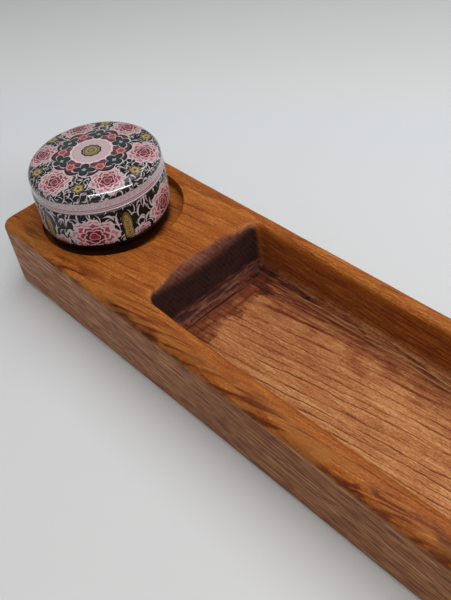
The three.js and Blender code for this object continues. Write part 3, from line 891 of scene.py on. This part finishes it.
# The wick.
# Flat-braided cotton dipped in wax: its strands cross over one another in a diamond weave up to a
# trimmed top, which is stiff with wax, a little frayed and 6 mm clear of the wax round it.
WAX_BELOW_LEDGE = 2.65 * MM
WAX_TOP = LEDGE_HEIGHT - SHEET - WAX_BELOW_LEDGE
WICK_CLEAR = 6 * MM
WICK_TOP = WAX_TOP + WICK_CLEAR
WICK_CORE = 0.9 * WICK_RADIUS
BRAID_PITCH = 3.2 * MM
BRAID_STRANDS = 4
BRAID_RELIEF, BRAID_SINK, FRAY = 0.1, 0.02, 0.04
ROW = 0.16 * MM
rows = round((WICK_TOP - TIN_FLOOR) / ROW)
braided = WICK_TOP - 0.5 * MM - TIN_FLOOR
wick_profile = [(0, TIN_FLOOR)]
wick_profile += [(WICK_CORE, TIN_FLOOR + braided * i / rows) for i in range(rows + 1)]
wick_profile += [(WICK_RADIUS * 0.72, WICK_TOP - 0.2 * MM), (WICK_RADIUS * 0.4, WICK_TOP - 0.05 * MM)]
wick = lathe("braided_cotton_wick", wick_profile + [(0, WICK_TOP)], 48)
for vertex in wick.data.vertices:
    out = Vector((vertex.co.x - TIN_X, vertex.co.y - TIN_Y, 0))
    turned = math.atan2(out.y, out.x) * BRAID_STRANDS / 2
    risen = 2 * math.pi * vertex.co.z / BRAID_PITCH
    over, under = math.sin(turned + risen), math.sin(turned - risen)
    weave = BRAID_RELIEF * abs(over if under > 0 else under)
    fray = FRAY * waver(vertex.co, 0.5 * MM, 2.2)
    vertex.co += out * (weave - BRAID_SINK + fray) * between(out.length, 0, 0.5 * WICK_RADIUS)

# Waxed cotton: off-white and dull, with a soft sheen from its fibres.
cotton, tree, shader = material("waxed_cotton_braid")
thread = node("TexNoise", node("VectorMath DIVIDE", tin_place(), (0.12, 0.12, 0.6)), 1, 2)
finish(
    Base_Color=node("ValToRGB", thread, stops=((0.3, "#D9CFB8"), (0.7, "#F2ECDD"))),
    Roughness=0.7,
    Sheen_Weight=0.3,
    Normal=node("Bump", Height=thread, Strength=0.4, Distance=0.05 * MM),
)
wick.data.materials.append(cotton)
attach(wick, "tin")
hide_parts("candle_wick")

# The wax.
# Soy wax poured warm into the tin: it shrank a hair off the sheet as it set, climbed the wall in a
# small fillet, sank a little round the wick and skinned over with faint ripples.
WAX_GAP = 0.3 * MM
WAX_CREEP = 1.5 * MM
CREEP_DEGREES = 60
SKIN_RINGS = 24
SKIN_SINK, SKIN_RIPPLE, CREEP_RIPPLE = 0.35 * MM, 0.1 * MM, 0.12 * MM
wax_wall = TIN_RADIUS - SHEET - WAX_GAP
wax_hole = WICK_RADIUS + WAX_GAP
fillet_foot = wax_wall - WAX_CREEP

wax_profile = [(TAB_RADIUS + WAX_GAP, TIN_FLOOR), (panel_radius, TIN_FLOOR), (foot_inner, SHEET + WAX_GAP)]
wax_profile += arc(corner_centre, BASE_CORNER, BASE_CORNER - SHEET - WAX_GAP, -90, 0, 20)
wax_profile += arc(fillet_foot, WAX_TOP + WAX_CREEP, WAX_CREEP, CREEP_DEGREES - 90, -90, 6)
wax_profile += [
    (fillet_foot + (wax_hole - fillet_foot) * i / SKIN_RINGS, WAX_TOP) for i in range(1, SKIN_RINGS + 1)
]
wax_profile += [
    (wax_hole, TAB_NECK_TOP + WAX_GAP),
    (TAB_NECK_OUTSIDE + WAX_GAP, TAB_NECK_TOP + WAX_GAP),
    (TAB_NECK_OUTSIDE + WAX_GAP, TAB_TOP + WAX_GAP),
    (TAB_RADIUS + WAX_GAP, TAB_TOP + WAX_GAP),
]
wax = lathe("poured_soy_wax", wax_profile, 96)
for vertex in wax.data.vertices:
    height = vertex.co.z - TIN_BASE
    from_wick = (vertex.co.xy - Vector((TIN_X, TIN_Y))).length
    if height > WAX_TOP - TINY and from_wick < fillet_foot:
        flat = Vector((vertex.co.x, vertex.co.y, 0))
        sink = SKIN_SINK * between(-from_wick, -14 * MM, -2 * MM)
        vertex.co.z += SKIN_RIPPLE * waver(flat, 9 * MM, 4.4) - sink
    elif height > WAX_TOP + TINY:
        vertex.co.z += CREEP_RIPPLE * waver(vertex.co, 7 * MM, 8.2)

# Soy wax: creamy and slightly see-through, so light goes soft in it, with duller specks of frost.
CLOUD_MM, FROST_MM = 11, 1.8
candle_wax, tree, shader = material("soy_wax_poured_and_set")
spot = tin_place()
cloud = node("TexNoise", spot, 1 / CLOUD_MM, 3)
frost = node("MapRange SMOOTHSTEP", node("TexNoise", spot, 1 / FROST_MM, 2), 0.55, 0.75)
cream = node("ValToRGB", cloud, stops=((0.3, "#EADFC6"), (0.7, "#F3ECDA")))
finish(
    Base_Color=node("Mix RGBA", node("Math MULTIPLY", frost, 0.5), cream, linear("#F8F4E8")),
    Subsurface_Weight=0.5,
    Subsurface_Radius=(3 * MM, 2 * MM, 1.2 * MM),
    Subsurface_Scale=1,
    Roughness=node("MapRange SMOOTHSTEP", frost, 0, 1, 0.38, 0.6),
    Normal=node("Bump", Height=node("Math ADD", cloud, frost), Strength=0.2, Distance=0.1 * MM),
)
wax.data.materials.append(candle_wax)
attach(wax, "tin")
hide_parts("candle_wax")

# The lid.
# A slip lid stamped from the same sheet: a shallow dome, a round corner, and a straight skirt
# whose raw edge is rolled into a fine hem that grips the neck.
LID_CLEARANCE = 0.4 * MM
LID_SEAT_GAP = 0.1 * MM
HEM_BEAD = 0.5 * MM
HEM_CLEARANCE = 0.1 * MM
LID_CORNER = 5.6 * MM
LID_CROWN = 9.5
SKIRT_INSIDE = NECK_RADIUS + LID_CLEARANCE
LID_RADIUS = SKIRT_INSIDE + SHEET
LID_BOTTOM = LEDGE_HEIGHT + LID_SEAT_GAP


def lid_top(offset):
    """One face of the lid above its skirt: the round corner, then the shallow crown."""
    crown = math.radians(LID_CROWN)
    crown_radius = LID_CORNER + (LID_RADIUS - LID_CORNER) / math.sin(crown)
    crown_centre = NECK_TOP - (crown_radius - LID_CORNER) * math.cos(crown)
    corner = arc(LID_RADIUS - LID_CORNER, NECK_TOP, LID_CORNER - offset, 0, 90 - LID_CROWN, 14)
    return corner + arc(0, crown_centre, crown_radius - offset, 90 - LID_CROWN, 90, 16)[1:]


hem_centre = NECK_RADIUS + HEM_CLEARANCE + HEM_BEAD
meets_inside, meets_outside = (
    math.degrees(math.acos((radius - hem_centre) / HEM_BEAD)) for radius in (SKIRT_INSIDE, LID_RADIUS)
)
hem = arc(hem_centre, LID_BOTTOM + HEM_BEAD, HEM_BEAD, meets_inside - 360, meets_outside, 16)
lid = lathe("lid_slip_cover", hem + lid_top(0) + lid_top(SHEET)[::-1])

# The same inks and varnish: six round flowers about a scalloped medallion on a field of leaves,
# stretched over the round corner as the sheet was, and a striped band round the skirt.
CORNER_TOP, CORNER_STRETCH = 43.8, 0.58
SKIRT_BOTTOM, SKIRT_TOP = LID_BOTTOM / MM, NECK_TOP / MM
SKIRT_STRIPES = (
    (0, "#7E6066"), (0.1, "#B9A5A9"), (0.17, "#835C66"), (0.24, "#C8B9BC"),
    (0.29, "#885B65"), (0.38, "#BEAEB1"), (0.44, "#9B8288"), (1, "#9B8288"),
)


def beside(start, out):
    """Coordinates about the nearest of six points that stand out evenly round the lid's middle."""
    sector = fold(turn, 6, start)
    along = node("Math MULTIPLY", distance, node("Math COSINE", sector))
    return node("Math SUBTRACT", along, out), node("Math MULTIPLY", distance, node("Math SINE", sector))


printed_lid, tree, shader = material("lid_printed_and_varnished_tinplate")
spot = tin_place()
x, y, up = node("SeparateXYZ", spot).outputs
middle_distance, turn = polar(x, y)
drop = node("Math MAXIMUM", node("Math SUBTRACT", CORNER_TOP, up), 0)
distance = node("Math MULTIPLY_ADD", drop, CORNER_STRETCH, middle_distance)
stretch = node("Math DIVIDE", distance, middle_distance)
x, y = node("Math MULTIPLY", x, stretch), node("Math MULTIPLY", y, stretch)
ink = leaves(linear(DARK), x, y, 3.7, 0.1, WHITE)
ink = leaves(ink, node("Math ADD", x, 51.3), node("Math ADD", y, 17.9), 3.0, 0.075, "#B9AEB0")
stops = (0, "#4A3C1C"), (0.25, "#A38C58"), (0.6, GOLD), (0.85, BLACK)
ink = bloom(ink, *beside(50, 31.5), 5, 4.0, 0.35, stops)
ink = rose(ink, *beside(20, 29.2), 10.6)
stops = (0, "#4E2A32"), (0.9, "#3C2228"), (0.93, BLACK), (0.975, WHITE)
ink = bloom(ink, x, y, 12, 23.0, 0.12, stops, math.radians(60))
specks = node(
    "Math MULTIPLY",
    node("MapRange SMOOTHSTEP", node("TexVoronoi", spot, 0.8, voronoi_dimensions="2D"), 0.28, 0.22),
    node("MapRange SMOOTHSTEP", distance, 19.4, 19),
)
ink = node("Mix RGBA", specks, ink, linear("#9A565C"))
leaf_out, leaf_across = beside(50, 17.0)
stops = (0, "#8E9A94"), (0.2, "#1E2B2B"), (0.72, BLACK), (0.86, WHITE)
ink = bloom(ink, node("Math MULTIPLY", leaf_out, 1.25), leaf_across, 4, 7.2, 0.5, stops)
ink = bloom(ink, *beside(20, 16.6), 6, 3.4, 0.25, ((0, GOLD), (0.3, RED), (0.5, PINK), (0.85, DEEP_RED)))
ink = bloom(ink, x, y, 18, 12.2, 0.05, ((0, "#B8A3A7"), (0.86, PINK), (0.89, "#CDBCBF")))
stops = (0, "#94703A"), (0.26, "#34321C"), (0.36, "#8E8456"), (0.6, "#4C4228"), (0.7, "#80744A"), (0.84, DARK)
ink = bloom(ink, x, y, 10, 5.8, 0.1, stops)
up_skirt = node("Math DIVIDE", node("Math SUBTRACT", up, SKIRT_BOTTOM), 8)
band = node("ValToRGB", up_skirt, stops=SKIRT_STRIPES)
band.color_ramp.interpolation = "CONSTANT"
stipple = node(
    "Math MULTIPLY",
    node("MapRange SMOOTHSTEP", node("TexNoise", spot, 2, 1), 0.4, 0.62),
    node("MapRange SMOOTHSTEP", up, SKIRT_BOTTOM + 3.4, SKIRT_BOTTOM + 3.6),
)
band = node("Mix RGBA", stipple, band, linear("#C2B3B6"))
above_skirt = node("MapRange SMOOTHSTEP", up, SKIRT_TOP - 0.3, SKIRT_TOP - 0.2)
finish(Base_Color=node("Mix RGBA", above_skirt, band, ink), **VARNISH)
lid.data.materials.append(printed_lid)
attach(lid, "lid")
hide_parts("tin_lid")
